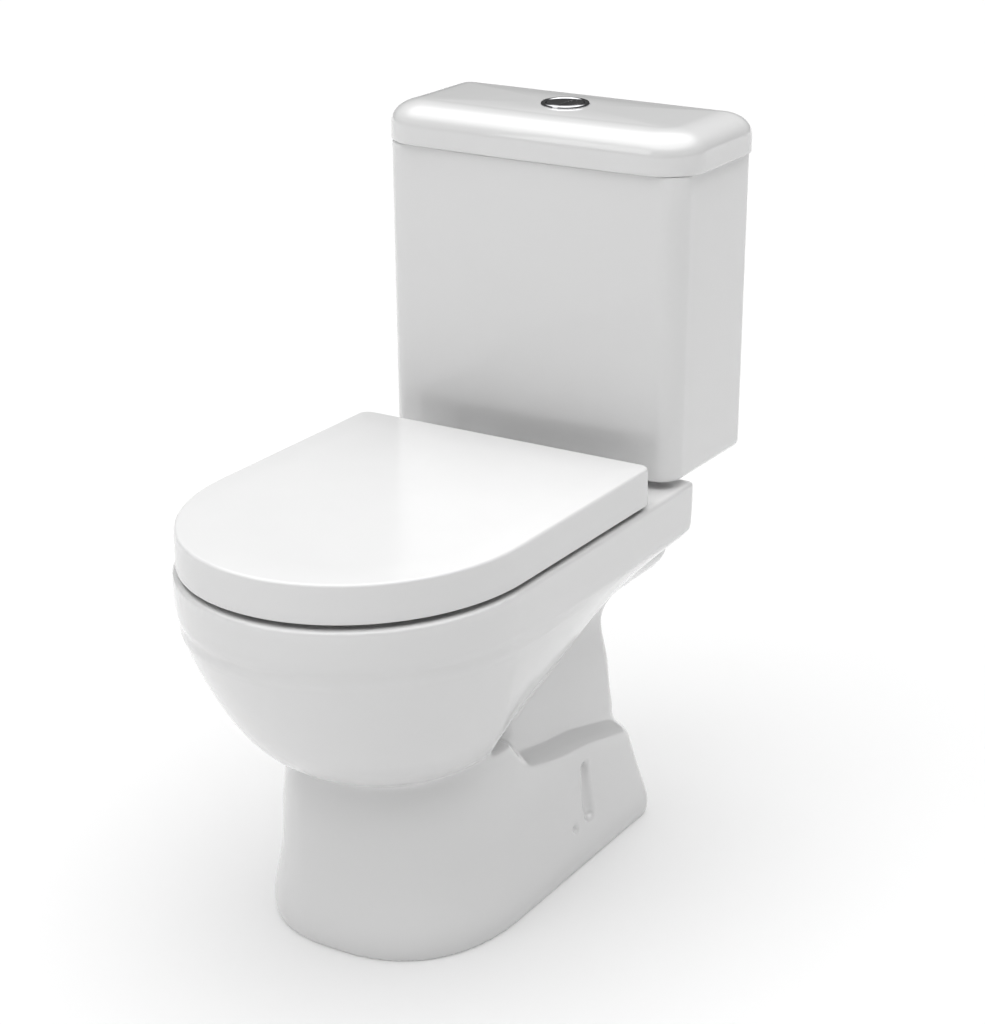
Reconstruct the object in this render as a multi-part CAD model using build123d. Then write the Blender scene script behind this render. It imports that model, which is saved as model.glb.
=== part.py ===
"""Close coupled toilet: ceramic pan, cistern and lid, wrap-over seat cover and ring, dual push button,
flush valve and fill valve. Millimetres, +Z up, wall at +Y, bowl nose at -Y, origin on the floor."""

import os
from math import cos, pi, radians, sin

from build123d import *

# ---- driving dimensions -------------------------------------------------------------------------
HALF_LENGTH = 328.25  # half of the overall projection from the wall
RIM_Z = 398.0  # top of the pan rim and of the seat shelf
FOOT_TOP, TRAP_TOP, RIM_LOW = 112.0, 235.0, 340.0  # level joints between the casting's four layers
CREASE_Z = 345.0  # lower edge of the rim band
WALL = 13.0  # thickness of the cast pan walls
SHELF_REAR = 211.0  # where the wide shelf steps in under the cistern
NECK_HALF = 100.0  # half width of the shelf under the cistern
NECK_REAR = 304.0  # rear end of the shelf under the cistern
BOWL_Y = -118.0  # centre of the bowl opening
TRAP_R = 27.0  # bore radius of the trapway
TRAP_WALL = 9.0
OUTLET_Y = 99.0  # centre of the floor outlet
SPIGOT_R = 51.0
SPIGOT_BORE = 42.0
SPIGOT_Z = 12.0  # the spigot stops short of the floor

TANK_Y = 241.0  # centre of the cistern, front to back
TANK_Z0, TANK_Z1 = 405.0, 724.0
TANK_BACK = 324.25
TANK_WALL = 9.0
TANK_FLOOR = 12.0
LID_TOP = 767.0
LID_WALL = 9.0

HINGE_X, HINGE_Y, HINGE_Z = 77.5, 102.25, 424.0
HINGE_PIN_R = 4.0
RUN_GAP = 0.05  # radial clearance of every pin that turns
BARREL_R = 9.0
COVER_Z0, COVER_Z1 = 403.5, 442.4
COVER_HALF = 174.7
COVER_NOSE = -325.5
COVER_REAR = 115.0
COVER_YC = -130.5
RING_REAR = 77.0  # clear of the cover's rear skirt as it swings up
COVER_SKIN = 4.0

BUTTON_Z = 770.0  # highest point of the object
BEZEL_R = 25.5
BUTTON_R = 19.5
ROD_X = 14.5
COUPLING_X = 75.0
FILL_X, FILL_Y = -128.0, 250.0
FILL_TAIL_R, FILL_SHANK_R = 10.48, 11.5  # free threaded end, and the shank through the cistern floor
FIX_Y, FIX_Z, FIX_R = 61.0, 47.0, 4.0  # sideways fixing holes in the foot

TANK_IN_Z = TANK_Z0 + TANK_FLOOR


# ---- outlines -----------------------------------------------------------------------------------
def superellipse_points(half, nose, centre, power, count=12):
    """Points of the round front end, from the right side over the nose to the left side."""
    points = []
    for i in range(count + 1):
        a = pi * i / count
        x = half * abs(cos(a)) ** (2 / power) * (1 if cos(a) >= 0 else -1)
        points.append((x, centre - (centre - nose) * abs(sin(a)) ** (2 / power)))
    return points


def d_wire(z, half, nose, centre, rear, corner, power=2.03, rear_half=None):
    """A D outline at height z: round front, sides that may taper, and a straight rear with round corners."""
    back_half = rear_half or half
    front = Spline(*[(x, y, z) for x, y in superellipse_points(half, nose, centre, power)])
    k = corner * (1 - sin(pi / 4))
    left = Line((-half, centre, z), (-back_half, rear - corner, z))
    corner_l = ThreePointArc(
        (-back_half, rear - corner, z), (-back_half + k, rear - k, z), (-back_half + corner, rear, z)
    )
    back = Line((-back_half + corner, rear, z), (back_half - corner, rear, z))
    corner_r = ThreePointArc(
        (back_half - corner, rear, z), (back_half - k, rear - k, z), (back_half, rear - corner, z)
    )
    right = Line((back_half, rear - corner, z), (half, centre, z))
    return Wire([front, left, corner_l, back, corner_r, right])


def d_loft(sections, grow=0.0, ruled=False):
    """A solid through D outlines given as (z, half, nose, centre, rear, corner, power, rear half)."""
    faces = []
    for z, half, nose, centre, rear, corner, power, rear_half in sections:
        wire = d_wire(
            z, half + grow, nose - grow, centre, rear + grow, max(corner + grow, 3), power, rear_half + grow
        )
        faces.append(Face(wire))
    return loft(faces, ruled=ruled)


def oval_loft(sections):
    """A solid through ellipses given as (z, half width, half length, centre y)."""
    faces = [Face(Wire([Edge.make_ellipse(w, l, Plane((0, y, z)))])) for z, w, l, y in sections]
    return loft(faces)


def box_wire(z, half, front, back, bow, r_front, r_back):
    """A rectangle with round corners whose front side bows forward."""
    kf = r_front * (1 - sin(pi / 4))
    kb = r_back * (1 - sin(pi / 4))
    edges = [
        ThreePointArc((-half + r_front, front, z), (0, front - bow, z), (half - r_front, front, z)),
        ThreePointArc((half - r_front, front, z), (half - kf, front + kf, z), (half, front + r_front, z)),
        Line((half, front + r_front, z), (half, back - r_back, z)),
        ThreePointArc((half, back - r_back, z), (half - kb, back - kb, z), (half - r_back, back, z)),
        Line((half - r_back, back, z), (-half + r_back, back, z)),
        ThreePointArc((-half + r_back, back, z), (-half + kb, back - kb, z), (-half, back - r_back, z)),
        Line((-half, back - r_back, z), (-half, front + r_front, z)),
        ThreePointArc((-half, front + r_front, z), (-half + kf, front + kf, z), (-half + r_front, front, z)),
    ]
    return Wire(edges)


def box_loft(sections, ruled=True):
    return loft([Face(box_wire(*s)) for s in sections], ruled=ruled)


# ---- plain turned shapes --------------------------------------------------------------------------
def rod(x, y, z0, z1, r):
    return Pos(x, y, z0) * Cylinder(r, z1 - z0, align=(Align.CENTER, Align.CENTER, Align.MIN))


def ring(x, y, z0, z1, r_out, r_in):
    return rod(x, y, z0, z1, r_out) - rod(x, y, z0 - 1, z1 + 1, r_in)


def x_rod(x0, x1, y, z, r):
    return Pos((x0 + x1) / 2, y, z) * Rot(0, 90, 0) * Cylinder(r, x1 - x0)


def block(x0, x1, y0, y1, z0, z1):
    return Pos((x0 + x1) / 2, (y0 + y1) / 2, (z0 + z1) / 2) * Box(x1 - x0, y1 - y0, z1 - z0)


def hex_nut(x, y, z0, z1, r_out, r_in):
    body = Pos(x, y, z0) * extrude(RegularPolygon(r_out, 6), z1 - z0)
    return body - rod(x, y, z0 - 1, z1 + 1, r_in)


def pair(shape_at):
    """The same piece on the left and on the right, as separate solids."""
    return Compound([shape_at(-1), shape_at(1)])


# ---- pan ------------------------------------------------------------------------------------------
BAND = [
    (CREASE_Z, 174.0, -323.5, -131.5, SHELF_REAR, 7, 2.03, 173.5),
    (353.0, 175.2, -325.5, -131.5, SHELF_REAR, 7, 2.03, 174.3),
    (370.0, 177.2, -327.6, -131.5, SHELF_REAR, 7, 2.03, 175.3),
    (RIM_Z, 177.8, -HALF_LENGTH, -131.5, SHELF_REAR, 7, 2.03, 175.5),
]
HULL = [
    (CREASE_Z, 173.8, -323.3, -131.5, SHELF_REAR - 1, 8, 2.03, 173.3),
    (325.0, 168.5, -316.5, -130.0, 155.0, 20, 2.05, 157.0),
    (300.0, 161.5, -304.5, -128.0, 115.0, 30, 2.05, 141.0),
    (270.0, 152.0, -288.0, -122.0, 84.0, 34, 2.05, 127.0),
    (240.0, 141.0, -268.0, -115.0, 55.0, 42, 2.05, 115.0),
    (212.0, 126.0, -243.0, -105.0, 20.0, 48, 2.05, 104.0),
    (185.0, 98.0, -201.0, -95.0, -28.0, 40, 2.05, 82.0),
]
TRAP = [
    (60.0, 98.0, -60.0, -20.0, 196.0, 24, 2.2, 93.0),
    (105.0, 98.0, -60.0, -20.0, 199.0, 24, 2.2, 93.0),
    (150.0, 98.0, -60.0, -20.0, 201.0, 24, 2.2, 93.5),
    (185.0, 97.0, -60.0, -20.0, 195.0, 24, 2.2, 93.5),
    (220.0, 96.0, -60.0, -20.0, 184.0, 23, 2.2, 92.5),
    (245.0, 97.0, -60.0, -20.0, 177.0, 21, 2.2, 94.0),
    (265.0, 103.0, -60.0, -20.0, 177.0, 18, 2.2, 101.0),
    (290.0, 125.0, -60.0, -20.0, 187.0, 13, 2.2, 124.0),
    (320.0, 152.0, -60.0, -20.0, 200.0, 9, 2.2, 151.0),
    (CREASE_Z + 1, 172.0, -60.0, -20.0, SHELF_REAR - 1, 7, 2.2, 172.0),
]
FOOT = [
    (0.0, 127.0, -205.8, -57.8, 222.0, 16, 2.42, 123.5),
    (5.0, 128.8, -207.2, -57.8, 223.5, 16, 2.42, 125.0),
    (50.0, 124.5, -203.0, -57.8, 218.5, 18, 2.42, 119.5),
    (100.0, 119.0, -198.0, -57.8, 209.0, 20, 2.42, 112.5),
    (150.0, 116.0, -195.0, -57.8, 194.0, 22, 2.42, 107.0),
    (192.0, 114.0, -193.0, -57.8, 180.0, 24, 2.42, 103.0),
]
SKIRT_TOP = [(240, 97), (162, 119), (102, 134), (27, 147), (-20, 158), (-60, 200)]  # (y, z) of its upper edge
BOWL = [
    (353.0, 138.0, 168.0, BOWL_Y),
    (320.0, 132.0, 162.0, BOWL_Y + 2),
    (285.0, 114.0, 142.0, BOWL_Y + 8),
    (250.0, 88.0, 112.0, BOWL_Y + 20),
    (215.0, 62.0, 80.0, BOWL_Y + 36),
    (185.0, 44.0, 54.0, BOWL_Y + 48),
    (160.0, 34.0, 38.0, BOWL_Y + 56),
]
BEND_IN, BEND_OUT = 42.0, 39.0  # radii of the lower and the upper bend of the trapway
DIP_Z, WEIR_Z = 150.0, 187.0  # heights of the two bend centres


def trap_tube(radius):
    """A pipe down from the bowl, round the dip, up over the weir and down to the floor outlet."""
    rise_y = OUTLET_Y - 2 * BEND_OUT
    start_y = rise_y - 2 * BEND_IN
    path = Wire(
        [
            Line((0, start_y, 178), (0, start_y, DIP_Z)),
            ThreePointArc((0, start_y, DIP_Z), (0, start_y + BEND_IN, DIP_Z - BEND_IN), (0, rise_y, DIP_Z)),
            Line((0, rise_y, DIP_Z), (0, rise_y, WEIR_Z)),
            ThreePointArc((0, rise_y, WEIR_Z), (0, rise_y + BEND_OUT, WEIR_Z + BEND_OUT), (0, OUTLET_Y, WEIR_Z)),
            Line((0, OUTLET_Y, WEIR_Z), (0, OUTLET_Y, 90)),
        ]
    )
    return sweep(Plane((0, start_y, 178)) * Circle(radius), path=path)


def above_skirt(drop=0.0):
    """Everything over the sloping upper edge of the foot, from side to side."""
    outline = [(y, z - drop) for y, z in SKIRT_TOP] + [(-60, 260), (240, 260)]
    face = Face(Wire(Polyline(*[(-200, y, z) for y, z in outline], close=True)))
    return extrude(face, 400, dir=(1, 0, 0))


def pan_skin():
    foot = d_loft(FOOT) - above_skirt()
    skin = d_loft(BAND) + d_loft(HULL) + d_loft(TRAP) + foot
    skin += block(-NECK_HALF, NECK_HALF, SHELF_REAR - 40, NECK_REAR, CREASE_Z + 2, RIM_Z)
    return skin


def cast_hollow():
    """The space left open by the mould between the outer skin, the bowl and the trapway."""
    inner_foot = [(z if i else -1.0, *rest) for i, (z, *rest) in enumerate(FOOT)]
    inner_trap = [s for s in TRAP if s[0] < 300]
    inner_hull = [s for s in HULL if s[0] < 330]
    space = d_loft(inner_foot, -WALL) - above_skirt(WALL)
    space += d_loft(inner_trap, -WALL)
    space += d_loft(inner_hull[:5], -WALL)
    space -= trap_tube(TRAP_R + TRAP_WALL)
    space -= rod(0, OUTLET_Y, SPIGOT_Z, 100, SPIGOT_R)
    space -= oval_loft([(z, w + 11, l + 11, y) for z, w, l, y in BOWL])
    space -= Pos(0, BOWL_Y + 56, 152) * Sphere(50)
    return space


def rim_channel():
    """Box rim: a water channel round the rim with a row of flush holes and a duct from the inlet."""
    outer = d_loft(
        [
            (359.0, 165.0, -315.0, -131.5, 45, 40, 2.03, 160.0),
            (384.0, 166.0, -316.0, -131.5, 45, 40, 2.03, 161.0),
        ]
    )
    core = oval_loft([(350.0, 127.0, 157.0, BOWL_Y), (390.0, 127.0, 157.0, BOWL_Y)])
    channel = outer - core
    channel += block(-32, 32, 35, TANK_Y, 359, 384)
    channel += rod(0, TANK_Y, 359, 384, 32)
    channel += rod(0, TANK_Y, 380, RIM_Z + 1, 45)
    for i in range(20):
        a = 2 * pi * (i + 0.5) / 20
        channel += rod(132.5 * cos(a), BOWL_Y + 162.5 * sin(a), 350, 362, 3.0)
    return channel


def fixing_recesses():
    """Screwdriver scoop and fixing hole low on each side of the foot."""
    cuts = None
    for side in (-1, 1):
        scoop = Pos(side * 118.9, 92, 78) * Rot(0, side * -13.5, 0) * Cone(11, 6.5, 62)
        hole = x_rod(min(side * 100, side * 135), max(side * 100, side * 135), FIX_Y, FIX_Z, FIX_R)
        cuts = scoop + hole if cuts is None else cuts + scoop + hole
    return cuts


def pan():
    body = pan_skin() - cast_hollow()
    body -= oval_loft(BOWL)
    body -= oval_loft([(345.0, 118.0, 148.0, BOWL_Y), (RIM_Z + 1, 118.0, 148.0, BOWL_Y)])
    body -= trap_tube(TRAP_R)
    body -= rod(0, OUTLET_Y, SPIGOT_Z - 1, 91, SPIGOT_BORE)
    body -= rim_channel()
    body -= fixing_recesses()
    for side in (-1, 1):
        body -= rod(side * HINGE_X, HINGE_Y, 358, RIM_Z + 1, 7.5)
        body -= rod(side * COUPLING_X, TANK_Y, CREASE_Z - 5, RIM_Z + 1, 5.5)
    return body


def pan_layers():
    """The casting as four level layers that meet face to face: foot, trap, bowl and rim."""
    body = pan()
    heights = (-5.0, FOOT_TOP, TRAP_TOP, RIM_LOW, RIM_Z + 5)
    slabs = [block(-190, 190, -340, 340, low, high) for low, high in zip(heights, heights[1:])]
    return [Compound((body & slab).solids()) for slab in slabs]


# ---- cistern --------------------------------------------------------------------------------------
def cistern_tank():
    front_0, front_1 = 164.5, 165.5
    outer = box_loft(
        [
            (TANK_Z0, 166.0, front_0 + 6, TANK_BACK - 6, 5.5, 20, 10),
            (TANK_Z0 + 2.5, 169.8, front_0 + 2, TANK_BACK - 2, 6, 23, 12),
            (TANK_Z0 + 8, 172.3, front_0, TANK_BACK, 6, 25, 14),
            (TANK_Z1, 175.3, front_1, TANK_BACK, 6, 24, 14),
        ]
    )
    t = TANK_WALL
    inner = box_loft(
        [
            (TANK_IN_Z, 163.0, front_0 + t, TANK_BACK - t, 5.5, 16, 8),
            (TANK_Z1 + 1, 166.3, front_1 + t, TANK_BACK - t, 5.5, 15, 8),
        ]
    )
    tank = outer - inner
    tank -= rod(0, TANK_Y, TANK_Z0 - 1, TANK_IN_Z + 1, 31.5)
    tank -= rod(FILL_X, FILL_Y, TANK_Z0 - 1, TANK_IN_Z + 1, 14.0)
    for side in (-1, 1):
        tank -= rod(side * COUPLING_X, TANK_Y, TANK_Z0 - 1, TANK_IN_Z + 1, 5.5)
        tank -= Pos(side * 100, TANK_BACK - 4, 682) * Rot(90, 0, 0) * Cylinder(4, 20)
    return tank


def lid_outline(z, inset):
    return (z, 182.5 - inset, 160.0 + inset, HALF_LENGTH - inset, 3.5, max(46 - inset, 4), max(31 - inset, 3))


def cistern_lid():
    z0 = TANK_Z1
    side = box_loft([lid_outline(z0, 0.6), lid_outline(z0 + 1, 0), lid_outline(740, 0)])
    crown = box_loft(
        [
            lid_outline(740, 0),
            lid_outline(747, 1.6),
            lid_outline(753.5, 5.6),
            lid_outline(759, 12),
            lid_outline(763, 20.5),
            lid_outline(765.6, 31),
            lid_outline(LID_TOP, 43),
        ],
        ruled=False,
    )
    hollow = box_loft([lid_outline(z0 - 1, 17), lid_outline(744, 17), lid_outline(757, 30)])
    return side + crown - hollow - rod(0, TANK_Y, 740, 780, 22.5)


# ---- seat and cover -------------------------------------------------------------------------------
def cover_outline(z, inset):
    return (
        z,
        COVER_HALF - inset,
        COVER_NOSE + inset,
        COVER_YC,
        COVER_REAR + 4.0 - inset,
        max(13 - inset, 3),
        2.03,
        COVER_HALF - inset,
    )


def seat_cover():
    shell = d_loft([cover_outline(COVER_Z0, 0), cover_outline(COVER_Z1, 0.4)])
    rim = shell.faces().sort_by(Axis.Z)[-1].outer_wire().edges()
    shell = fillet(rim, 3.0)
    inner = d_loft(
        [cover_outline(COVER_Z0 - 1, COVER_SKIN), cover_outline(COVER_Z1 - 5.0, COVER_SKIN + 0.4)]
    )
    shell -= inner
    shell -= block(-112, 112, 85, 130, COVER_Z0 - 1, COVER_Z1 - 5.0)
    sweep_zone = x_rod(-200, 200, HINGE_Y, HINGE_Z, 60) - x_rod(-201, 201, HINGE_Y, HINGE_Z, 24.6)
    shell -= sweep_zone & block(-200, 200, HINGE_Y, 140, 380, HINGE_Z)
    for side in (-1, 1):
        a, b = sorted((side * 49.5, side * 61.4))
        ear = block(a, b, HINGE_Y - 8, HINGE_Y + 8, HINGE_Z, COVER_Z1 - 4.5)
        ear += x_rod(a, b, HINGE_Y, HINGE_Z, 8)
        shell += ear
        shell -= x_rod(a - 1, b + 1, HINGE_Y, HINGE_Z, HINGE_PIN_R + RUN_GAP)
    return shell


def seat_ring():
    z0, z1 = 405.0, 429.0
    plan = [
        (z0, 167.0, COVER_NOSE + 8, COVER_YC, RING_REAR, 18, 2.03, 167.0),
        (z1, 166.0, COVER_NOSE + 9, COVER_YC, RING_REAR, 18, 2.03, 166.0),
    ]
    body = d_loft(plan)
    top = body.faces().sort_by(Axis.Z)[-1].outer_wire().edges()
    body = fillet(top, 7.0)
    hole = oval_loft([(z0 - 1, 110.0, 136.0, BOWL_Y), (z1 + 1, 114.0, 140.0, BOWL_Y)])
    body -= hole
    top = body.faces().sort_by(Axis.Z)[-1].inner_wires()[0].edges()
    body = fillet(top, 6.0)
    for side in (-1, 1):
        a, b = sorted((side * 93.6, side * 106))
        arm = block(a, b, RING_REAR - 9, HINGE_Y, HINGE_Z - 8, HINGE_Z + 3)
        arm += x_rod(a, b, HINGE_Y, HINGE_Z, 8)
        body += arm
        body -= x_rod(a - 1, b + 1, HINGE_Y, HINGE_Z, HINGE_PIN_R + RUN_GAP)
    return body


def hinge_base(side):
    a, b = sorted((side * 62.0, side * 93.0))
    foot = block(a, b, HINGE_Y - 17, HINGE_Y + 11.4, RIM_Z, RIM_Z + 4)
    foot = fillet(foot.edges().filter_by(Axis.Z), 5)
    post = block(a, b, HINGE_Y - BARREL_R, HINGE_Y + BARREL_R, RIM_Z + 4, HINGE_Z)
    post += x_rod(a, b, HINGE_Y, HINGE_Z, BARREL_R)
    base = foot + post - x_rod(a - 1, b + 1, HINGE_Y, HINGE_Z, HINGE_PIN_R)
    base -= rod(side * HINGE_X, HINGE_Y, RIM_Z - 1, RIM_Z + 12, 3.0)
    return base


def hinge_pin(side):
    a, b = sorted((side * 49.0, side * 106.5))
    return x_rod(a, b, HINGE_Y, HINGE_Z, HINGE_PIN_R)


def seat_bolt(side):
    x = side * HINGE_X
    return rod(x, HINGE_Y, 362, RIM_Z + 12, 3.0) + hex_nut(x, HINGE_Y, 362, 366, 6, 3.0)


def seat_plug(side):
    return ring(side * HINGE_X, HINGE_Y, 366.2, RIM_Z, 7.5, 3.0)


RING_PADS = [(-142, -170), (142, -170), (-142, 40), (142, 40)]
COVER_PADS = [(-138, -180), (138, -180), (-138, 20), (138, 20)]


def pads(places, z0, z1, along, across):
    shapes = []
    for x, y in places:
        pad = block(x - across / 2, x + across / 2, y - along / 2, y + along / 2, z0, z1)
        shapes.append(fillet(pad.edges().filter_by(Axis.Z), 4))
    return Compound(shapes)


# ---- push buttons ---------------------------------------------------------------------------------
def button_bezel():
    plate = ring(0, TANK_Y, LID_TOP, BUTTON_Z, BEZEL_R, BUTTON_R + 0.6)
    plate = chamfer(plate.edges().group_by(Axis.Z)[-1], 1.0)
    stem = ring(0, TANK_Y, 745, LID_TOP, 22.0, BUTTON_R + 0.6)
    stop = ring(0, TANK_Y, 744, 746, 22.0, 17.5)
    return plate + stem + stop


def button(low_x, high_x):
    disc = rod(0, TANK_Y, 752, BUTTON_Z - 0.6, BUTTON_R)
    disc = fillet(disc.edges().group_by(Axis.Z)[-1], 1.2)
    return disc & block(low_x, high_x, TANK_Y - 30, TANK_Y + 30, 740, 780)


def push_rod(x):
    return rod(x, TANK_Y, 601, 752, 2.4) + rod(x, TANK_Y, 748, 752, 2.8)


# ---- flush valve ----------------------------------------------------------------------------------
def flush_valve_base():
    base = ring(0, TANK_Y, TANK_IN_Z + 3, TANK_IN_Z + 9, 46, 24)
    base += ring(0, TANK_Y, TANK_IN_Z + 8, TANK_IN_Z + 17, 28, 24)
    base += ring(0, TANK_Y, 378, TANK_IN_Z + 4, 29, 25)
    return base


def valve_cage():
    top = ring(0, TANK_Y, 566, 572, 40, 30)
    foot = ring(0, TANK_Y, TANK_IN_Z + 9, TANK_IN_Z + 13, 44, 36)
    cage = top + foot
    for i in range(4):
        a = radians(45 + 90 * i)
        post = Pos(38 * cos(a), TANK_Y + 38 * sin(a), 0) * block(-3, 3, -3, 3, TANK_IN_Z + 11, 568)
        cage += post
    return cage


def valve_head():
    head = rod(0, TANK_Y, 572, 600, 34)
    head = fillet(head.edges().group_by(Axis.Z)[-1], 3)
    head -= rod(0, TANK_Y, 570, 601, 11.5)
    head -= ring(0, TANK_Y, 571, 594, 31, 20)
    for x in (-ROD_X, ROD_X):
        head -= rod(x, TANK_Y, 590, 601, 3.2)
    return head


def overflow_tube():
    tube = ring(0, TANK_Y, TANK_IN_Z + 20, 640, 11, 9)
    flange = ring(0, TANK_Y, TANK_IN_Z + 20, TANK_IN_Z + 25, 31, 9)
    return tube + flange


# ---- fill valve -----------------------------------------------------------------------------------
def fill_valve_body():
    body = rod(FILL_X, FILL_Y, 368, 392, FILL_TAIL_R)
    body += rod(FILL_X, FILL_Y, 392, TANK_IN_Z + 5, FILL_SHANK_R)
    body += rod(FILL_X, FILL_Y, TANK_IN_Z + 3, TANK_IN_Z + 8, 18)
    body += rod(FILL_X, FILL_Y, TANK_IN_Z + 7, 622, 12)
    body += rod(FILL_X, FILL_Y, 500, 506, 15)
    body += rod(FILL_X, FILL_Y, 612, 640, 19)
    body -= rod(FILL_X, FILL_Y, 360, 630, 6.5)
    for x in (-6, 6):
        post = block(FILL_X + x - 1.5, FILL_X + x + 1.5, FILL_Y - 26, FILL_Y - 10, 630, 650)
        body += post
    body -= x_rod(FILL_X - 10, FILL_X + 10, FILL_Y - 21, 645, 1.5)
    return body


def float_cup():
    cup = ring(FILL_X, FILL_Y, 506.4, 562, 29, 12.5)
    cup -= ring(FILL_X, FILL_Y, 505, 558, 26.5, 15)
    cup += rod(FILL_X + 22, FILL_Y - 4, 558, 641.5, 1.5)
    return cup


def fill_lever():
    y = FILL_Y - 21
    lever = x_rod(FILL_X - 4.0, FILL_X + 4.0, y, 645, 4)
    lever += block(FILL_X - 2, FILL_X + 4, y, FILL_Y, 643, 647)
    lever += block(FILL_X + 3, FILL_X + 25, FILL_Y - 7, FILL_Y - 1, 643, 647)
    lever -= x_rod(FILL_X - 6, FILL_X + 6, y, 645, 1.55)
    return lever


def build():
    z_in = TANK_IN_Z
    foot, trap, bowl, rim = pan_layers()
    nodes = {
        "pan_foot": foot,
        "pan_trap": trap,
        "pan_bowl": bowl,
        "pan_rim": rim,
        "cistern_tank": cistern_tank(),
        "cistern_lid": cistern_lid(),
        "seat_cover": seat_cover(),
        "seat_ring": seat_ring(),
        "ring_buffers": pads(RING_PADS, RIM_Z, 405.0, 34, 14),
        "cover_buffers": pads(COVER_PADS, 429.2, COVER_Z1 - 5.0, 26, 12),
        "hinge_bases": pair(hinge_base),
        "hinge_pins": pair(hinge_pin),
        "seat_bolts": pair(seat_bolt),
        "seat_plugs": pair(seat_plug),
        "button_bezel": button_bezel(),
        "bezel_nut": ring(0, TANK_Y, 750, 757, 31, 22.0),
        "full_flush_button": button(-30, 3.6),
        "half_flush_button": button(4.4, 30),
        "full_push_rod": push_rod(-ROD_X),
        "half_push_rod": push_rod(ROD_X),
        "flush_valve_base": flush_valve_base(),
        "flush_valve_gasket": ring(0, TANK_Y, z_in, z_in + 3, 44, 29.0),
        "flush_valve_nut": hex_nut(0, TANK_Y, 393, TANK_Z0, 42, 29.0),
        "valve_cage": valve_cage(),
        "valve_head": valve_head(),
        "overflow_tube": overflow_tube(),
        "valve_seal": ring(0, TANK_Y, z_in + 17, z_in + 20, 32, 9),
        "coupling_gasket": ring(0, TANK_Y, RIM_Z, TANK_Z0, 64, 46.0),
        "coupling_bolts": pair(lambda s: coupling_bolt(s * COUPLING_X)),
        "coupling_rubbers": pair(lambda s: ring(s * COUPLING_X, TANK_Y, z_in, z_in + 3, 13, 4)),
        "coupling_washers": pair(lambda s: ring(s * COUPLING_X, TANK_Y, CREASE_Z - 1, CREASE_Z + 2, 13, 4)),
        "coupling_nuts": pair(lambda s: hex_nut(s * COUPLING_X, TANK_Y, 336, CREASE_Z - 1, 8, 4)),
        "fill_valve_body": fill_valve_body(),
        "fill_valve_washer": ring(FILL_X, FILL_Y, z_in, z_in + 3, 18, FILL_SHANK_R),
        "fill_valve_nut": hex_nut(FILL_X, FILL_Y, 393, TANK_Z0, 19, FILL_SHANK_R),
        "float_cup": float_cup(),
        "fill_lever": fill_lever(),
        "lever_pin": x_rod(FILL_X - 8, FILL_X + 8, FILL_Y - 21, 645, 1.5),
    }
    return nodes


def coupling_bolt(x):
    head = rod(x, TANK_Y, TANK_IN_Z + 3, TANK_IN_Z + 9, 8)
    return head + rod(x, TANK_Y, 330, TANK_IN_Z + 4, 4)


def main():
    os.makedirs("parts", exist_ok=True)
    for name, shape in build().items():
        export_step(shape, f"parts/{name}.step")


main()
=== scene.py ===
"""Looks of a close coupled toilet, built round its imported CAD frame. Metres, +Z up, wall at +Y."""

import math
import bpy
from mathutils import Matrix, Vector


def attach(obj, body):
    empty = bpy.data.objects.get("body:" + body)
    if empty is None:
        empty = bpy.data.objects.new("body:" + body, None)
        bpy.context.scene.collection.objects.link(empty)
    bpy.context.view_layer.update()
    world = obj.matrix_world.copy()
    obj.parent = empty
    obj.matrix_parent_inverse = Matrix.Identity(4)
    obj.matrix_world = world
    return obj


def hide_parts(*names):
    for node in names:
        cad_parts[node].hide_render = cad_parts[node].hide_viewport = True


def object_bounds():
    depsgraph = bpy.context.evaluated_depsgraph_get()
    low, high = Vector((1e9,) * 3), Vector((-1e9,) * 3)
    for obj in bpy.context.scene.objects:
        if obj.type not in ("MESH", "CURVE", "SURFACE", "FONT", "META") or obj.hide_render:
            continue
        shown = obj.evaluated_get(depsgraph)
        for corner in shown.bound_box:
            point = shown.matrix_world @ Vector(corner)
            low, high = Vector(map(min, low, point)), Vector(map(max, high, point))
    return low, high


bl_info = {
    "name": "Close coupled toilet",
    "version": (1, 0, 0),
    "blender": (4, 5, 0),
    "location": "View3D > Sidebar > Toilet",
    "description": "Glazed pan and cistern, seat cover, buttons and fittings of a close coupled toilet",
    "category": "Object",
}

import bmesh
import bpy
import numpy as np
from bpy.props import FloatProperty, FloatVectorProperty, IntProperty, PointerProperty
from mathutils import Matrix, Vector

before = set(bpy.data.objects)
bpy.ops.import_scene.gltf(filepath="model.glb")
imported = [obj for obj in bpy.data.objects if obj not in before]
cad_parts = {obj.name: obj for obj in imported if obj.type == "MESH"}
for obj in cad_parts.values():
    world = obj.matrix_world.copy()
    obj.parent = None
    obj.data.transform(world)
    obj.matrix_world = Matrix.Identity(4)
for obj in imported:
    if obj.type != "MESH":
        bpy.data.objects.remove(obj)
CAD_LOW, CAD_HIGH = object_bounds()

TANK_Y = 0.241  # middle of the cistern and of its buttons, front to back
TANK_LOW, TANK_HIGH = 0.405, 0.724
TANK_FLOOR, TANK_WALL = 0.417, 0.009
HINGE = np.array([0.10225, 0.424])  # (y, z) of the seat's pins
SEAT_Y = -0.10  # where the rings of the cover's flat top close
SKIRT_EDGE_Y = [-60, -20, 27, 102, 162, 240]  # upper edge of the foot's skirt, in millimetres
SKIRT_EDGE_Z = [200, 158, 147, 134, 119, 97]
CAMERA_AT = (1.2934, -1.9784, 1.2887)
SURROUND, CEILING = 0.08, 2.75  # brightness of the studio at the horizon and overhead
OBJECT_PLACE, DIRECTION = 3, 0  # outputs of the texture coordinate node


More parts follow.
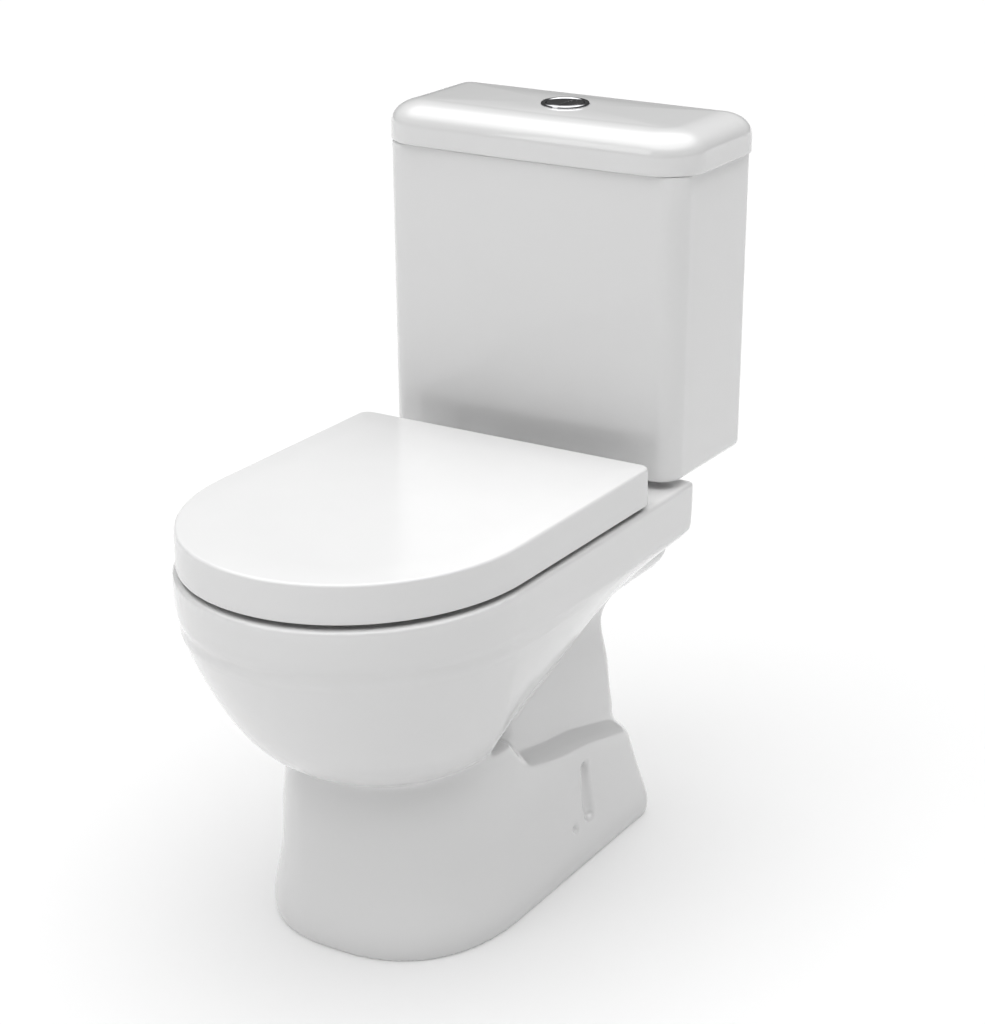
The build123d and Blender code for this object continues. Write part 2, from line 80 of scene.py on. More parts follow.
# ---- settings ------------------------------------------------------------------------------------
class ToiletSizes(bpy.types.PropertyGroup):
    glaze_cell: FloatProperty(
        name="Glaze cell", description="Edge length of the pan's mesh cells", default=0.003, unit="LENGTH"
    )
    glaze_rounds: IntProperty(
        name="Glaze rounds", description="Smoothing rounds that melt the edges", default=14
    )
    lid_crown: FloatProperty(
        name="Lid crown", description="Rise of the cistern lid's pillow top", default=0.0012, unit="LENGTH"
    )
    cover_edge: FloatProperty(
        name="Cover edge", description="Radius of the seat cover's upper edge", default=0.0032, unit="LENGTH"
    )
    tank_edge: FloatProperty(
        name="Tank edge", description="Radius of the cistern's bottom edge", default=0.0075, unit="LENGTH"
    )
    camera_lens: FloatProperty(
        name="Lens", description="Focal length on a 36 mm sensor", default=88.68, unit="CAMERA"
    )
    floor_half: FloatProperty(
        name="Floor half width", description="Half the width of the floor", default=80.0, unit="LENGTH"
    )


class ToiletColours(bpy.types.PropertyGroup):
    glaze: FloatVectorProperty(
        name="Glaze", description="White of the glaze", subtype="COLOR", default=(0.74, 0.74, 0.74)
    )
    plastic: FloatVectorProperty(
        name="Seat plastic", description="White of the seat", subtype="COLOR", default=(0.75, 0.75, 0.75)
    )
    chrome: FloatVectorProperty(
        name="Chrome", description="Tint of the chrome", subtype="COLOR", default=(0.62, 0.62, 0.64)
    )
    seal: FloatVectorProperty(
        name="Seal rubber", description="Black rubber", subtype="COLOR", default=(0.02, 0.02, 0.02)
    )
    buffer: FloatVectorProperty(
        name="Buffer rubber", description="Pale rubber", subtype="COLOR", default=(0.6, 0.6, 0.58)
    )
    valve: FloatVectorProperty(
        name="Valve plastic", description="White valve plastic", subtype="COLOR", default=(0.7, 0.7, 0.67)
    )
    marker: FloatVectorProperty(
        name="Marker plastic", description="Blue valve plastic", subtype="COLOR", default=(0.03, 0.12, 0.42)
    )
    steel: FloatVectorProperty(
        name="Steel", description="Stainless steel", subtype="COLOR", default=(0.56, 0.56, 0.55)
    )
    brass: FloatVectorProperty(
        name="Brass", description="Plain brass", subtype="COLOR", default=(0.72, 0.5, 0.2)
    )


# ---- shader maths --------------------------------------------------------------------------------
class Value:
    """A shader socket that can be used in ordinary arithmetic."""

    def __init__(self, maker, socket):
        self.maker, self.socket = maker, socket

    def _math(self, operation, a, b):
        return self.maker.node("ShaderNodeMath", {"operation": operation}, {0: a, 1: b})

    def __add__(self, other):
        return self._math("ADD", self, other)

    def __radd__(self, other):
        return self._math("ADD", other, self)

    def __mul__(self, other):
        return self._math("MULTIPLY", self, other)

    def __rmul__(self, other):
        return self._math("MULTIPLY", other, self)


class Tree:
    """Builds one node tree. Each node other than the arithmetic of Value comes from its node method."""

    def __init__(self, owner, shader):
        owner.use_nodes = True
        self.tree = owner.node_tree
        self.shader = self.tree.nodes[shader]

    def node(self, kind, settings=None, inputs=None, output=0):
        made = self.tree.nodes.new(kind)
        for key, value in (settings or {}).items():
            setattr(made, key, value)
        for key, value in (inputs or {}).items():
            self.feed(made.inputs[key], value)
        return Value(self, made.outputs[output])

    def feed(self, socket, value):
        if isinstance(value, Value):
            self.tree.links.new(value.socket, socket)
        else:
            socket.default_value = value

    def set(self, **inputs):
        for key, value in inputs.items():
            self.feed(self.shader.inputs[key.replace("_", " ")], value)


class Maker(Tree):
    """Builds one material."""

    def __init__(self, name):
        self.material = bpy.data.materials.new(name)
        super().__init__(self.material, "Principled BSDF")

    def place(self):
        return self.node("ShaderNodeTexCoord", output=OBJECT_PLACE)

    def noise(self, size, detail=2.0, stretch=None):
        """Noise whose features are about this size in metres, from 0 to 1."""
        at = self.place()
        if stretch:
            at = self.node("ShaderNodeVectorMath", {"operation": "MULTIPLY"}, {0: at, 1: stretch})
        return self.node("ShaderNodeTexNoise", {}, {"Vector": at, "Scale": 1.0 / size, "Detail": detail})

    def shade(self, colour, spread, size):
        """The colour, lighter and darker by spread over patches of this size."""
        low = tuple(c * (1 - spread) for c in colour) + (1.0,)
        high = tuple(min(c * (1 + spread), 1.0) for c in colour) + (1.0,)
        return self.node(
            "ShaderNodeMix",
            {"data_type": "RGBA"},
            {0: self.noise(size, 3.0), 6: low, 7: high},
            output=2,
        )

    def bump(self, height, depth, after=None):
        values = {"Height": height, "Distance": depth, "Strength": 1.0}
        if after is not None:
            values["Normal"] = after
        return self.node("ShaderNodeBump", {}, values)


def glaze_material(name, colour):
    """Thick white glaze: a slow waviness and a very fine orange peel under a clear surface."""
    m = Maker(name)
    wave = m.bump(m.noise(0.045, 1.0), 0.00012)
    m.set(
        Base_Color=m.shade(colour, 0.012, 0.12),
        Roughness=0.07 + 0.05 * m.noise(0.03, 3.0),
        IOR=1.52,
        Coat_Weight=0.4,
        Coat_Roughness=0.05,
        Normal=m.bump(m.noise(0.004, 2.0), 0.000006, wave),
    )
    return m.material


def plastic_material(name, colour, roughness, grain, depth, spread=0.015):
    m = Maker(name)
    m.set(
        Base_Color=m.shade(colour, spread, 0.06),
        Roughness=roughness + 0.08 * m.noise(0.02, 2.0),
        IOR=1.49,
        Normal=m.bump(m.noise(grain, 2.0), depth),
    )
    return m.material


def metal_material(name, colour, roughness, stretch=None, depth=0.000003):
    m = Maker(name)
    lines = m.noise(0.0012, 3.0, stretch)
    m.set(
        Base_Color=m.shade(colour, 0.04, 0.01),
        Metallic=1.0,
        Roughness=roughness + 0.08 * lines,
        Normal=m.bump(lines, depth),
    )
    return m.material


def rubber_material(name, colour, roughness=0.62):
    m = Maker(name)
    m.set(
        Base_Color=m.shade(colour, 0.15, 0.008),
        Roughness=roughness + 0.2 * m.noise(0.004, 3.0),
        Normal=m.bump(m.noise(0.0008, 3.0), 0.00003),
    )
    return m.material


# ---- outlines and meshes -------------------------------------------------------------------------
def arc(cx, cy, radius, start, end, count):
    angles = np.linspace(start, end, count)
    return [(cx + radius * math.cos(a), cy + radius * math.sin(a)) for a in angles]


def d_outline(half, nose, centre, rear, corner, power=2.03, front_count=97, side_count=24):
    """A D seen from above, from the right side over the nose: round front, straight sides, square back."""
    points = []
    for a in np.linspace(0, math.pi, front_count):
        c, s = math.cos(a), math.sin(a)
        x = half * math.copysign(abs(c) ** (2 / power), c)
        points.append((x, centre - (centre - nose) * abs(s) ** (2 / power)))
    side = np.linspace(centre, rear - corner, side_count)[1:-1]
    points += [(-half, y) for y in side]
    points += arc(-half + corner, rear - corner, corner, math.pi, math.pi / 2, 12)
    points += [(x, rear) for x in np.linspace(-half + corner, half - corner, 26)[1:-1]]
    points += arc(half - corner, rear - corner, corner, math.pi / 2, 0, 12)
    points += [(half, y) for y in side[::-1]]
    return np.array(points)


def box_outline(half, front, back, bow, r_front, r_back, count=14):
    """A box seen from above whose front bows forward, with large front corners."""
    points = []
    for x in np.linspace(half - r_front, -half + r_front, 40):
        points.append((x, front - bow * (1 - (x / half) ** 2)))
    drop = bow * (1 - ((half - r_front) / half) ** 2)
    left = arc(-half + r_front, front + r_front, r_front, -math.pi / 2, -math.pi, count)[1:]
    blend = np.linspace(1, 0, len(left))
    points += [(x, y - drop * b) for (x, y), b in zip(left, blend)]
    points += [(-half, y) for y in np.linspace(front + r_front, back - r_back, 14)[1:-1]]
    points += arc(-half + r_back, back - r_back, r_back, math.pi, math.pi / 2, count)
    points += [(x, back) for x in np.linspace(-half + r_back, half - r_back, 40)[1:-1]]
    points += arc(half - r_back, back - r_back, r_back, math.pi / 2, 0, count)
    points += [(half, y) for y in np.linspace(back - r_back, front + r_front, 14)[1:-1]]
    right = arc(half - r_front, front + r_front, r_front, 0, -math.pi / 2, count)[:-1]
    points += [(x, y - drop * b) for (x, y), b in zip(right, blend[::-1])]
    return np.array(points)


def ring(points, z):
    heights = np.broadcast_to(z, (len(points),))
    return np.column_stack([points, heights])


def cap_rings(outer, centre, steps, rise=0.0):
    """Rings that close a flat or slightly crowned face from its edge to its middle."""
    rings = []
    for t in np.linspace(0, 1, steps + 1)[1:-1]:
        r = outer.copy()
        r[:, :2] = outer[:, :2] * (1 - t) + np.array(centre) * t
        r[:, 2] = outer[:, 2] + rise * (1 - (1 - t) ** 2)
        rings.append(r)
    return rings


def lofted(name, rings, material, body, replaces, closed=False, sharp=50):
    """A smooth mesh through equal rings; a loop of rings when closed, otherwise both ends are filled."""
    mesh = bmesh.new()
    rows = [[mesh.verts.new(p) for p in r] for r in rings]
    count = len(rows[0])
    pairs = list(zip(rows, rows[1:] + rows[:1])) if closed else list(zip(rows, rows[1:]))
    for low, high in pairs:
        for i in range(count):
            j = (i + 1) % count
            mesh.faces.new((low[i], low[j], high[j], high[i]))
    if not closed:
        mesh.faces.new(rows[0][::-1])
        mesh.faces.new(rows[-1])
    return finish_piece(name, mesh, material, body, replaces, sharp)


def finish_piece(name, mesh, material, body, replaces, sharp=50):
    bmesh.ops.recalc_face_normals(mesh, faces=mesh.faces)
    data = bpy.data.meshes.new(name)
    mesh.to_mesh(data)
    mesh.free()
    data.materials.append(material)
    for polygon in data.polygons:
        polygon.use_smooth = True
    data.set_sharp_from_angle(angle=math.radians(sharp))
    piece = bpy.data.objects.new(name, data)
    bpy.context.scene.collection.objects.link(piece)
    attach(piece, body)
    for node in replaces:
        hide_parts(node)
    return piece


def rounded(inset, z, radius, rising, steps=8):
    """(inset, z) steps of a rounded edge that ends inset by the radius; rising goes up and inwards."""
    out = []
    for a in np.linspace(0, math.pi / 2, steps + 1):
        out.append((inset + radius * (1 - math.cos(a)), z + (1 if rising else -1) * radius * math.sin(a)))
    return out


def smooth_step(t):
    t = np.clip(t, 0, 1)
    return t * t * (3 - 2 * t)


# ---- pan -----------------------------------------------------------------------------------------
PAN_NODES = tuple(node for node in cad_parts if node.startswith("pan_"))


def remeshed_nodes(nodes, cell):
    """One even skin of small cells over CAD nodes that meet face to face."""
    mesh = bmesh.new()
    for node in nodes:
        mesh.from_mesh(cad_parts[node].data)
    data = bpy.data.meshes.new("cells")
    mesh.to_mesh(data)
    mesh.free()
    temporary = bpy.data.objects.new("cells", data)
    bpy.context.scene.collection.objects.link(temporary)
    cells = temporary.modifiers.new("cells", "REMESH")
    cells.mode = "VOXEL"
    cells.voxel_size = cell
    shown = temporary.evaluated_get(bpy.context.evaluated_depsgraph_get())
    skin = bpy.data.meshes.new_from_object(shown)
    bpy.data.objects.remove(temporary)
    return skin


def coordinates(data):
    flat = np.zeros(len(data.vertices) * 3)
    data.vertices.foreach_get("co", flat)
    return flat.reshape(-1, 3)


def relax(points, edges, rounds, amount, out=-0.50):
    """Smooths a mesh in pairs of steps, in and out, so that it keeps its size. Amount is 0 to 1."""
    count = np.bincount(edges.ravel(), minlength=len(points))[:, None]
    for step in range(2 * rounds):
        total = np.zeros_like(points)
        for axis in range(3):
            near = np.bincount(edges[:, 0], points[edges[:, 1], axis], len(points))
            total[:, axis] = near + np.bincount(edges[:, 1], points[edges[:, 0], axis], len(points))
        pull = 0.52 if step % 2 == 0 else out
        points = points + pull * amount * (total / np.maximum(count, 1) - points)
    return points


def shape_pan(points, normals):
    """The rim band's soft undercut with a fuller edge below it, faded out towards the shelf."""
    x, y, z = points.T * 1000
    outside = ((x / 150) ** 2 + ((y + 118) / 180) ** 2 > 1) & (np.abs(normals[:, 2]) < 0.75)
    outside &= (np.abs(x) > 150) | (y < -140)
    crease = 345 - 12 * smooth_step((y + 250) / 350)
    fade = (1 - 0.6 * smooth_step((y + 230) / 180)) * (1 - smooth_step((y + 60) / 90))
    hollow = -1.7 * np.exp(-(((z - crease - 5) / 5.5) ** 2))
    lip = 0.9 * np.exp(-(((z - crease + 5) / 5.0) ** 2))
    move = np.where(outside, (hollow + lip) * fade, 0.0) / 1000
    return points + normals * move[:, None]


def build_pan(sizes, colours):
    skin = remeshed_nodes(PAN_NODES, sizes.glaze_cell)
    points = coordinates(skin)
    edges = np.zeros(len(skin.edges) * 2, np.int64)
    skin.edges.foreach_get("vertices", edges)
    edges = edges.reshape(-1, 2)
    x, y, z = points.T * 1000
    hole = np.hypot(y - 61, z - 47) < 9
    scoop = (np.abs(x) > 95) & (np.abs(y - 92) < 17) & (np.abs(z - 78) < 38)
    amount = np.where(hole | scoop, 0.25, 1.0)[:, None]
    points = relax(points, edges, sizes.glaze_rounds, amount)
    ledge = z - np.interp(y, SKIRT_EDGE_Y, SKIRT_EDGE_Z)
    soft = np.exp(-((ledge / 22) ** 2)) * smooth_step((y + 60) / 60) * (np.abs(x) > 60)
    points = relax(points, edges, 2 * sizes.glaze_rounds, amount * soft[:, None], 0.52)
    neck = smooth_step((z - 95) / 20) * smooth_step((320 - z) / 30)
    points = relax(points, edges, 2 * sizes.glaze_rounds, amount * neck[:, None])
    skin.vertices.foreach_set("co", points.ravel())
    skin.update()
    normals = np.zeros(len(points) * 3)
    skin.vertices.foreach_get("normal", normals)
    points = shape_pan(points, normals.reshape(-1, 3))
    points = np.clip(points, np.array(CAD_LOW), np.array(CAD_HIGH))
    skin.vertices.foreach_set("co", points.ravel())
    skin.update()
    mesh = bmesh.new()
    mesh.from_mesh(skin)
    glaze = glaze_material("Pan glaze", colours.glaze)
    piece = finish_piece("pan_glazed", mesh, glaze, "base", PAN_NODES, 180)
    thin = piece.modifiers.new("thin", "DECIMATE")
    thin.ratio = min(1.0, 95000 / max(len(piece.data.polygons), 1))
    return piece


# ---- cistern -------------------------------------------------------------------------------------
def tank_ring(z, inset):
    t = (z - TANK_LOW) / (TANK_HIGH - TANK_LOW)
    half = 0.1722 + 0.0030 * t - inset
    front = 0.1645 + 0.0010 * t + inset
    r_front, r_back = max(0.0250 - inset, 0.006), max(0.014 - inset, 0.004)
    return ring(box_outline(half, front, 0.32425 - inset, 0.006, r_front, r_back), z)


def build_tank(sizes, colours):
    low, high, floor, wall = TANK_LOW, TANK_HIGH, TANK_FLOOR, TANK_WALL
    edge = sizes.tank_edge
    rings = []
    bottom = rounded(0.0, low + edge, edge, False)[::-1]
    first = tank_ring(bottom[0][1], bottom[0][0])
    rings += cap_rings(first, (0, TANK_Y), 4)[::-1]
    rings += [tank_ring(z, inset) for inset, z in bottom]
    rings += [tank_ring(z, 0.0) for z in np.linspace(low + 0.03, high - 0.02, 12)]
    rings += [tank_ring(z, inset) for inset, z in rounded(0.0, high - 0.0015, 0.0015, True, 4)]
    rings += [tank_ring(z, wall - inset) for inset, z in rounded(0.0, high - 0.0015, 0.0015, True, 4)[::-1]]
    rings += [tank_ring(z, wall) for z in np.linspace(high - 0.03, floor + 0.02, 8)]
    inner = [(wall + inset, z) for inset, z in rounded(0.0, floor + 0.010, 0.010, False)]
    rings += [tank_ring(z, inset) for inset, z in inner]
    rings += cap_rings(rings[-1], (0, 0.245), 4)
    glaze = glaze_material("Cistern glaze", colours.glaze)
    return lofted("cistern_glazed", rings, glaze, "base", ["cistern_tank"], sharp=60)


def lid_ring(z, inset):
    r_front, r_back = max(0.046 - 0.9 * inset, 0.008), max(0.031 - 0.9 * inset, 0.006)
    outline = box_outline(0.1825 - inset, 0.160 + inset, 0.32825 - inset, 0.0035, r_front, r_back)
    return ring(outline, z)


def lid_hole(z, radius, like):
    out = like[:, :2] - np.array([0, TANK_Y])
    out = out / np.linalg.norm(out, axis=1)[:, None] * radius
    return ring(out + np.array([0, TANK_Y]), z)


def build_lid(sizes, colours):
    base, shoulder, top = 0.7242, 0.7400, 0.7660
    rings = [lid_ring(z, inset) for inset, z in rounded(0.0, base + 0.0022, 0.0022, False, 5)[::-1]]
    rings += [lid_ring(z, 0.0) for z in np.linspace(base + 0.005, shoulder, 4)]
    for a in np.linspace(0, math.pi / 2, 22)[1:]:
        inset = 0.037 * (1 - math.cos(a)) ** 1.12
        rings.append(lid_ring(shoulder + (top - shoulder) * math.sin(a) ** 0.96, inset))
    edge = rings[-1]
    hole = lid_hole(top + sizes.lid_crown, 0.0226, edge)
    for t in np.linspace(0, 1, 12)[1:]:
        r = edge * (1 - t) + hole * t
        r[:, 2] = top + sizes.lid_crown * (1 - (1 - t) ** 2)
        rings.append(r)
    rings.append(lid_hole(0.757, 0.0226, edge))
    ceiling = lid_ring(0.757, 0.036)
    rings += [rings[-1] * (1 - t) + ceiling * t for t in (0.3, 0.6, 1.0)]
    hollow = ((0.752, 0.026), (0.745, 0.0185), (0.735, 0.0165), (base, 0.0165))
    rings += [lid_ring(z, inset) for z, inset in hollow]
    glaze = glaze_material("Lid glaze", colours.glaze)
    return lofted("lid_glazed", rings, glaze, "lid", ["cistern_lid"], closed=True, sharp=60)


# ---- seat cover ----------------------------------------------------------------------------------
def cover_ring(z, inset):
    outline = d_outline(0.1747 - inset, -0.3255 + inset, -0.1305, 0.1190 - inset, max(0.013 - inset, 0.004))
    return ring(outline, z)


def between_hinges(points):
    """True for the stretch behind the seat where the skirt is cut away for the hinges."""
    return (np.abs(points[:, 0]) < 0.112) & (points[:, 1] > 0.085)


def skirt_edge(points, top):
    """Lower edge of the skirt: level, rounded about the hinge behind, and cut away between the hinges."""
    behind = np.maximum(points[:, 1] - HINGE[0], 0)
    z = np.where(points[:, 1] > HINGE[0], HINGE[1] - np.sqrt(np.maximum(0.0246**2 - behind**2, 0)), 0.4035)
    z = np.maximum(z, 0.4035)
    return np.where(between_hinges(points), top - 0.0049, z)


def build_cover(sizes, colours):
    top, skin, edge = 0.4424, 0.004, sizes.cover_edge
    ceiling = top - 0.005
    rings = cap_rings(cover_ring(ceiling, skin + 0.004), (0, SEAT_Y), 4)[::-1]
    cove = rounded(0.0, ceiling - 0.004, 0.004, True, 4)
    rings += [cover_ring(z, inset + skin) for inset, z in cove[::-1]]
    inner = cover_ring(0.0, skin)
    low = skirt_edge(inner, top)
    for t in (0.5, 0.97):
        rings.append(np.column_stack([inner[:, :2], (ceiling - 0.004) * (1 - t) + (low + 0.0006) * t]))
    for r in rings:
        r[:, 2] = np.where(between_hinges(r), ceiling, r[:, 2])
    for inset, lift in ((skin - 0.0012, 0.0), (0.0012, 0.0), (0.0003, 0.0005), (0.0, 0.0014)):
        r = cover_ring(0.0, inset)
        r[:, 2] = skirt_edge(r, top) + lift
        rings.append(r)
    outer = cover_ring(0.0, 0.0)
    low = skirt_edge(outer, top) + 0.0014
    for t in (0.25, 0.5, 0.75):
        r = cover_ring(0.0, 0.0004 * t)
        r[:, 2] = low * (1 - t) + (top - edge) * t
        r[:, 2] = np.minimum(r[:, 2], top - edge)
        rings.append(r)
    rings += [cover_ring(z, inset + 0.0004) for inset, z in rounded(0.0, top - edge, edge, True, 8)]
    rings += cap_rings(rings[-1], (0, SEAT_Y), 5)
    plastic = plastic_material("Cover plastic", colours.plastic, 0.14, 0.0016, 0.000004)
    piece = lofted("cover_moulded", rings, plastic, "cover", ["seat_cover"], sharp=40)
    ears = bmesh.new()
    for side in (-1, 1):
        add_ear(ears, side * 0.05545, 0.00595, top - 0.0046)
    finish_piece("cover_ears", ears, plastic, "cover", [], 40)
    return piece


def add_ear(mesh, x, half_width, top):
    """A hinge ear: a round barrel about the hinge axis, carried up to the underside of the cover."""
    barrel = 0.008
    outline = arc(HINGE[0], HINGE[1], barrel, -math.pi, 0, 25)
    outline += [(HINGE[0] + barrel, top), (HINGE[0] - barrel, top)]
    sides = [[mesh.verts.new((x + s * half_width, y, z)) for y, z in outline] for s in (-1, 1)]
    mesh.faces.new(sides[0])
    mesh.faces.new(sides[1][::-1])
    for i in range(len(outline)):
        j = (i + 1) % len(outline)
        mesh.faces.new((sides[0][i], sides[1][i], sides[1][j], sides[0][j]))


# ---- buttons -------------------------------------------------------------------------------------
def turned(name, profile, centre, material, body, replaces, count=96, sharp=40):
    """A piece turned about a vertical line from a closed (radius, height) profile."""
    mesh = bmesh.new()
    rows = []
    for a in np.linspace(0, 2 * math.pi, count, endpoint=False):
        c, s = math.cos(a), math.sin(a)
        rows.append([mesh.verts.new((centre[0] + r * c, centre[1] + r * s, z)) for r, z in profile])
    for low, high in zip(rows, rows[1:] + rows[:1]):
        for i in range(len(profile)):
            j = (i + 1) % len(profile)
            mesh.faces.new((low[i], low[j], high[j], high[i]))
    return finish_piece(name, mesh, material, body, replaces, sharp)


def build_bezel(sizes, colours):
    chrome = metal_material("Bezel chrome", colours.chrome, 0.05)
    profile = [(0.0220, 0.7445), (0.0220, 0.7668), (0.0255, 0.7668), (0.0255, 0.7675)]
    for a in np.linspace(0.2, 1.57, 7):
        profile.append((0.0255 - 0.0022 * (1 - math.cos(a)), 0.7675 + 0.0024 * math.sin(a)))
    profile += [(0.0222, 0.7699), (0.0209, 0.7695), (0.0202, 0.7686), (0.0201, 0.7460)]
    profile += [(0.0176, 0.7458), (0.0176, 0.7442), (0.0215, 0.7442)]
    return turned("bezel_turned", profile, (0.0, TANK_Y), chrome, "lid", ["button_bezel"])


def button_outline(inset, low_x, high_x, count=72):
    """A disc cut straight across, pulled in by inset all round."""
    radius, low_x, high_x = 0.0195 - inset, low_x + inset, high_x - inset
    points = []
    for a in np.linspace(0, 2 * math.pi, count, endpoint=False):
        x, y = radius * math.cos(a), radius * math.sin(a)
        if not low_x <= x <= high_x:
            x = min(max(x, low_x), high_x)
            y = math.copysign(min(abs(y), math.sqrt(radius**2 - x**2)), y)
        points.append((x, y + TANK_Y))
    return np.array(points)


def build_button(name, body, node, low_x, high_x, colours):
    chrome = metal_material(name + " chrome", colours.chrome, 0.06)
    rings = [ring(button_outline(0.0, low_x, high_x), z) for z in (0.752, 0.760, 0.7675)]
    for inset, z in rounded(0.0, 0.7681, 0.0012, True, 5):
        rings.append(ring(button_outline(inset, low_x, high_x), z))
    centre = rings[-1][:, :2].mean(0)
    dip = cap_rings(rings[-1], centre, 6, -0.0006)
    return lofted(name, rings + dip, chrome, body, [node], sharp=35)


# ---- fittings ------------------------------------------------------------------------------------
def fitting_materials(colours):
    """Material for each CAD node that is shown as it is."""
    seat = plastic_material("Seat plastic", colours.plastic, 0.14, 0.0016, 0.000004)
    valve = plastic_material("Valve plastic", colours.valve, 0.32, 0.0010, 0.00001, 0.03)
    marker = plastic_material("Marker plastic", colours.marker, 0.35, 0.0010, 0.00001, 0.06)
    seal = rubber_material("Seal rubber", colours.seal)
    pad = rubber_material("Buffer rubber", colours.buffer, 0.45)
    chrome = metal_material("Hinge chrome", colours.chrome, 0.06)
    steel = metal_material("Steel", colours.steel, 0.22, (1.0, 12.0, 12.0))
    brass = metal_material("Brass", colours.brass, 0.25)
    return {
        "seat_ring": seat,
        "ring_buffers": pad,
        "cover_buffers": pad,
        "hinge_bases": chrome,
        "hinge_pins": steel,
        "seat_bolts": steel,
        "seat_plugs": seal,
        "bezel_nut": valve,
        "full_push_rod": valve,
        "half_push_rod": valve,
        "flush_valve_base": valve,
        "flush_valve_gasket": seal,
        "flush_valve_nut": valve,
        "valve_cage": valve,
        "valve_head": marker,
        "overflow_tube": valve,
        "valve_seal": seal,
        "coupling_gasket": seal,
        "coupling_bolts": brass,
        "coupling_rubbers": seal,
        "coupling_washers": steel,
        "coupling_nuts": brass,
        "fill_valve_body": valve,
        "fill_valve_washer": seal,
        "fill_valve_nut": valve,
        "float_cup": marker,
        "fill_lever": valve,
        "lever_pin": steel,
    }


def dress(node, material):
    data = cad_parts[node].data
    data.materials.clear()
    data.materials.append(material)


# ---- stage ---------------------------------------------------------------------------------------
def add_light(name, place, target, width, height, power, tint=(1.0, 1.0, 1.0)):
    data = bpy.data.lights.new(name, "AREA")
    data.shape = "RECTANGLE"
    data.size, data.size_y, data.energy, data.color = width, height, power, tint
    light = bpy.data.objects.new(name, data)
    light.location = place
    light.rotation_euler = (Vector(target) - Vector(place)).to_track_quat("-Z", "Y").to_euler()
    bpy.context.scene.collection.objects.link(light)
    return light


def add_camera(sizes):
    """A long lens from the front right, a little above the cistern, level to within a third of a degree."""
    turn, tilt, roll = math.radians(31.947), math.radians(20.662), math.radians(-0.307)
    back = Vector((math.sin(turn) * math.cos(tilt), -math.cos(turn) * math.cos(tilt), math.sin(tilt)))
    side = Vector((math.cos(turn), math.sin(turn), 0))
    up = back.cross(side)
    right = math.cos(roll) * side + math.sin(roll) * up
    over = -math.sin(roll) * side + math.cos(roll) * up
    data = bpy.data.cameras.new("Camera")
    data.lens, data.sensor_width, data.clip_end = sizes.camera_lens, 36.0, 200.0
    camera = bpy.data.objects.new("Camera", data)
    camera.matrix_world = Matrix(
        (
            (right.x, over.x, back.x, CAMERA_AT[0]),
            (right.y, over.y, back.y, CAMERA_AT[1]),
            (right.z, over.z, back.z, CAMERA_AT[2]),
            (0, 0, 0, 1),
        )
    )
    bpy.context.scene.collection.objects.link(camera)
    bpy.context.scene.camera = camera


def add_floor(sizes):
    mesh = bmesh.new()
    bmesh.ops.create_grid(mesh, x_segments=40, y_segments=40, size=sizes.floor_half)
    data = bpy.data.meshes.new("Floor")
    mesh.to_mesh(data)
    mesh.free()
    paper = Maker("Floor paper")
    paper.set(
        Base_Color=paper.shade((0.62, 0.62, 0.62), 0.005, 0.5),
        Emission_Color=(1.0, 1.0, 1.0, 1.0),
        Emission_Strength=0.2,
        Roughness=0.75 + 0.1 * paper.noise(0.05, 2.0),
        Specular_IOR_Level=0.1,
        Normal=paper.bump(paper.noise(0.002, 2.0), 0.00002),
    )
    data.materials.append(paper.material)
    floor = bpy.data.objects.new("Floor", data)
    floor.location = (0, 0, -0.0002)
    bpy.context.scene.collection.objects.link(floor)


def studio_world():
    """A soft white ceiling that fades to a dim surround towards the horizon."""
    world = bpy.data.worlds.new("Studio")
    sky = Tree(world, "Background")
    direction = sky.node("ShaderNodeTexCoord", output=DIRECTION)
    height = sky.node("ShaderNodeSeparateXYZ", {}, {0: direction}, output=2)
    levels = {"From Min": 0.55, "From Max": 0.90, "To Min": SURROUND, "To Max": CEILING}
    fade = sky.node("ShaderNodeMapRange", {"interpolation_type": "SMOOTHSTEP"}, {"Value": height, **levels})
    sky.set(Color=fade)
    return world


def build_stage(sizes):
    scene = bpy.context.scene
    scene.view_settings.view_transform = "Standard"
    scene.world = studio_world()
    add_floor(sizes)
    add_camera(sizes)
    add_light("Front light", (-1.2, -3.0, 2.2), (0, 0, 0.5), 1.6, 1.6, 14)


# ---- operators -----------------------------------------------------------------------------------
def settings(context):
    return context.scene.toilet_sizes, context.scene.toilet_colours


class TOILET_OT_pan(bpy.types.Operator):
    """Build the glazed pan"""

    bl_idname = "toilet.pan"
    bl_label = "Pan"

    def execute(self, context):
        build_pan(*settings(context))
        return {"FINISHED"}


class TOILET_OT_cistern(bpy.types.Operator):
    """Build the glazed cistern"""

    bl_idname = "toilet.cistern"
    bl_label = "Cistern"

    def execute(self, context):
        build_tank(*settings(context))
        return {"FINISHED"}


class TOILET_OT_lid(bpy.types.Operator):
    """Build the cistern's pillow lid"""

    bl_idname = "toilet.lid"
    bl_label = "Cistern lid"

    def execute(self, context):
        build_lid(*settings(context))
        return {"FINISHED"}


class TOILET_OT_cover(bpy.types.Operator):
    """Build the wrap-over seat cover and its hinge ears"""

    bl_idname = "toilet.cover"
    bl_label = "Seat cover"

    def execute(self, context):
        build_cover(*settings(context))
        return {"FINISHED"}


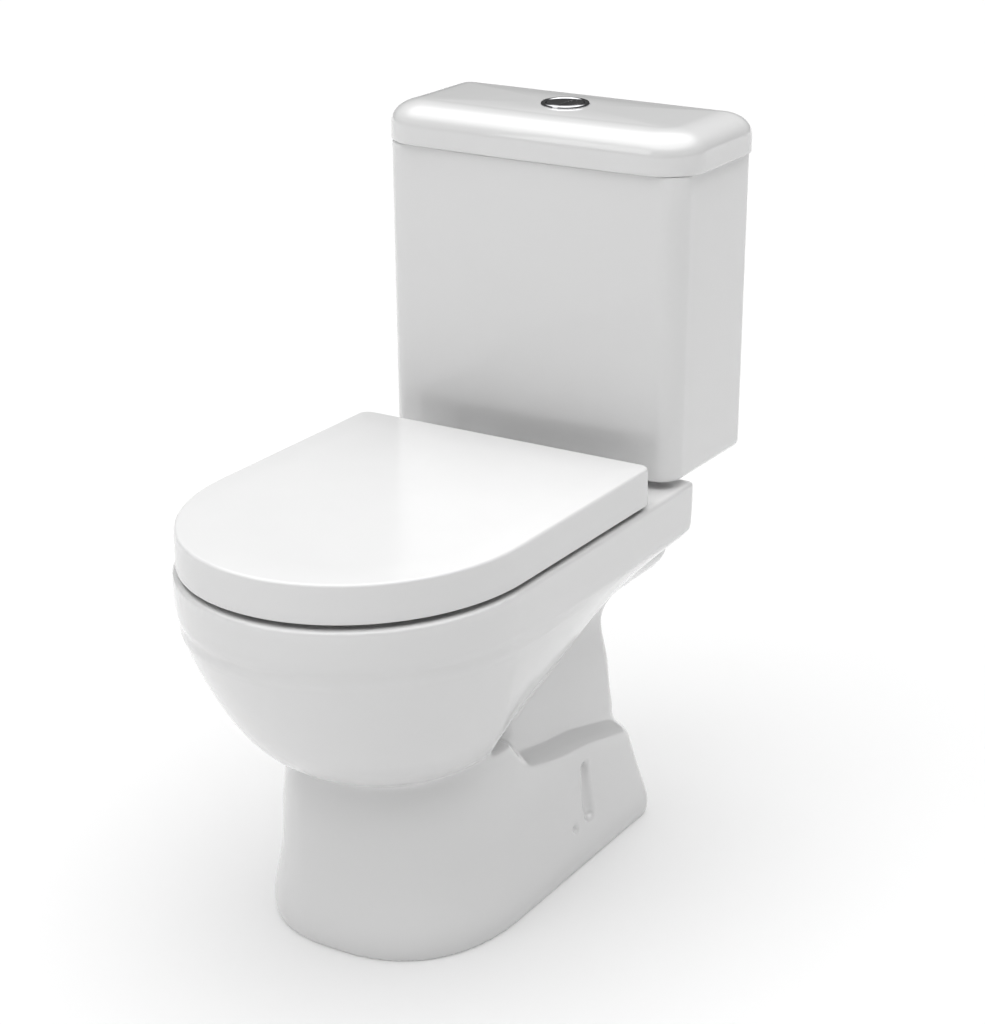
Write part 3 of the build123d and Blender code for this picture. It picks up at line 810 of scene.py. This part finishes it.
class TOILET_OT_buttons(bpy.types.Operator):
    """Build the button bezel and both push buttons"""

    bl_idname = "toilet.buttons"
    bl_label = "Push buttons"

    def execute(self, context):
        sizes, colours = settings(context)
        build_bezel(sizes, colours)
        build_button("full_button_plate", "full_button", "full_flush_button", -0.030, 0.0036, colours)
        build_button("half_button_plate", "half_button", "half_flush_button", 0.0044, 0.030, colours)
        return {"FINISHED"}


class TOILET_OT_fittings(bpy.types.Operator):
    """Give the seat ring, hinges, valves, seals and fasteners their materials"""

    bl_idname = "toilet.fittings"
    bl_label = "Fittings"

    def execute(self, context):
        for node, material in fitting_materials(context.scene.toilet_colours).items():
            dress(node, material)
        return {"FINISHED"}


class TOILET_OT_stage(bpy.types.Operator):
    """Set up the floor, the lights and the camera"""

    bl_idname = "toilet.stage"
    bl_label = "Stage"

    def execute(self, context):
        build_stage(context.scene.toilet_sizes)
        return {"FINISHED"}


class TOILET_PT_panel(bpy.types.Panel):
    """Lists the toilet's pieces in the sidebar"""

    bl_label = "Toilet"
    bl_space_type = "VIEW_3D"
    bl_region_type = "UI"
    bl_category = "Toilet"

    def draw(self, context):
        for operator in OPERATORS:
            self.layout.operator(operator.bl_idname)
        for group in settings(context):
            for name in group.bl_rna.properties.keys():
                if name not in ("rna_type", "name"):
                    self.layout.prop(group, name)


OPERATORS = (
    TOILET_OT_pan,
    TOILET_OT_cistern,
    TOILET_OT_lid,
    TOILET_OT_cover,
    TOILET_OT_buttons,
    TOILET_OT_fittings,
    TOILET_OT_stage,
)
CLASSES = (ToiletSizes, ToiletColours, *OPERATORS, TOILET_PT_panel)


def register():
    for cls in CLASSES:
        bpy.utils.register_class(cls)
    bpy.types.Scene.toilet_sizes = PointerProperty(type=ToiletSizes)
    bpy.types.Scene.toilet_colours = PointerProperty(type=ToiletColours)


def unregister():
    del bpy.types.Scene.toilet_colours
    del bpy.types.Scene.toilet_sizes
    for cls in reversed(CLASSES):
        bpy.utils.unregister_class(cls)


def main():
    register()
    bpy.ops.toilet.pan()
    bpy.ops.toilet.cistern()
    bpy.ops.toilet.lid()
    bpy.ops.toilet.cover()
    bpy.ops.toilet.buttons()
    bpy.ops.toilet.fittings()
    bpy.ops.toilet.stage()


if __name__ == "__main__":
    main()
